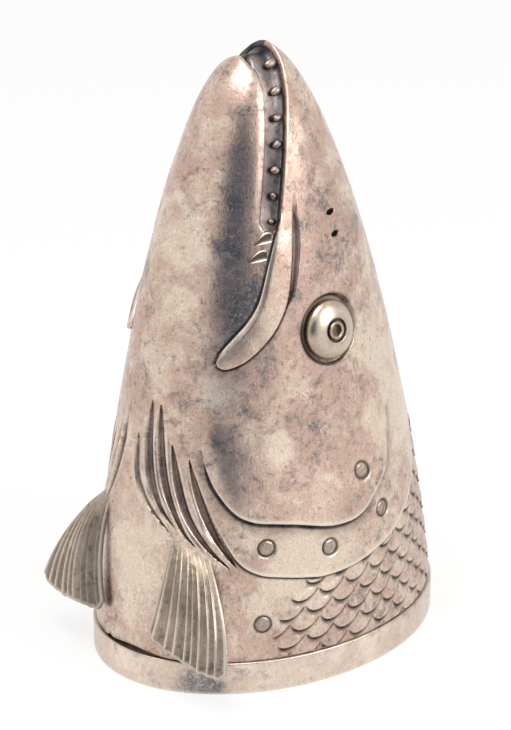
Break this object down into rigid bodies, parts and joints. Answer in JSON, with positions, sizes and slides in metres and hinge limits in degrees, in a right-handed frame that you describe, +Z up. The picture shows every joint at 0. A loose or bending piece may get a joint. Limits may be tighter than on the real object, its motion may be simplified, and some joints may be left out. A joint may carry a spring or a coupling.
{
  "type": "stirrup cup",
  "caption": "Stirrup cup in the form of an upright fish's head with open toothed mouth, riveted eyes, gill plates and spread fins, standing on its oval drinking rim.",
  "frame": {"origin": "centre of the oval rim band, on the table that the cup stands on", "axes": "+Z up towards the nose, -Y towards the belly and throat, +X towards the fish's left flank"},
  "size_m": [0.0606, 0.0799, 0.1297],
  "materials": {
    "tarnished_silver": "worn silver with a warm tarnish",
    "band_silver": "polished silver, lightly tarnished",
    "bright_silver": "polished silver",
    "fin_silver": "cast silver, chased",
    "dark_silver": "oxidised silver"
  },
  "bodies": {
    "root": {"head_shell": "tarnished_silver", "lower_jaw": "tarnished_silver", "mouth_lining": "dark_silver", "rim_band": "band_silver", "left_teeth": "bright_silver", "right_teeth": "bright_silver", "left_mouth_folds": "bright_silver", "right_mouth_folds": "bright_silver", "left_lip_bone": "tarnished_silver", "right_lip_bone": "tarnished_silver", "left_eye_boss": "bright_silver", "right_eye_boss": "bright_silver", "left_eye_rivet": "bright_silver", "right_eye_rivet": "bright_silver", "left_gill_cover": "tarnished_silver", "right_gill_cover": "tarnished_silver", "left_cheek_plate": "tarnished_silver", "right_cheek_plate": "tarnished_silver", "left_pectoral_fin": "fin_silver", "right_pectoral_fin": "fin_silver"}
  },
  "joints": []
}
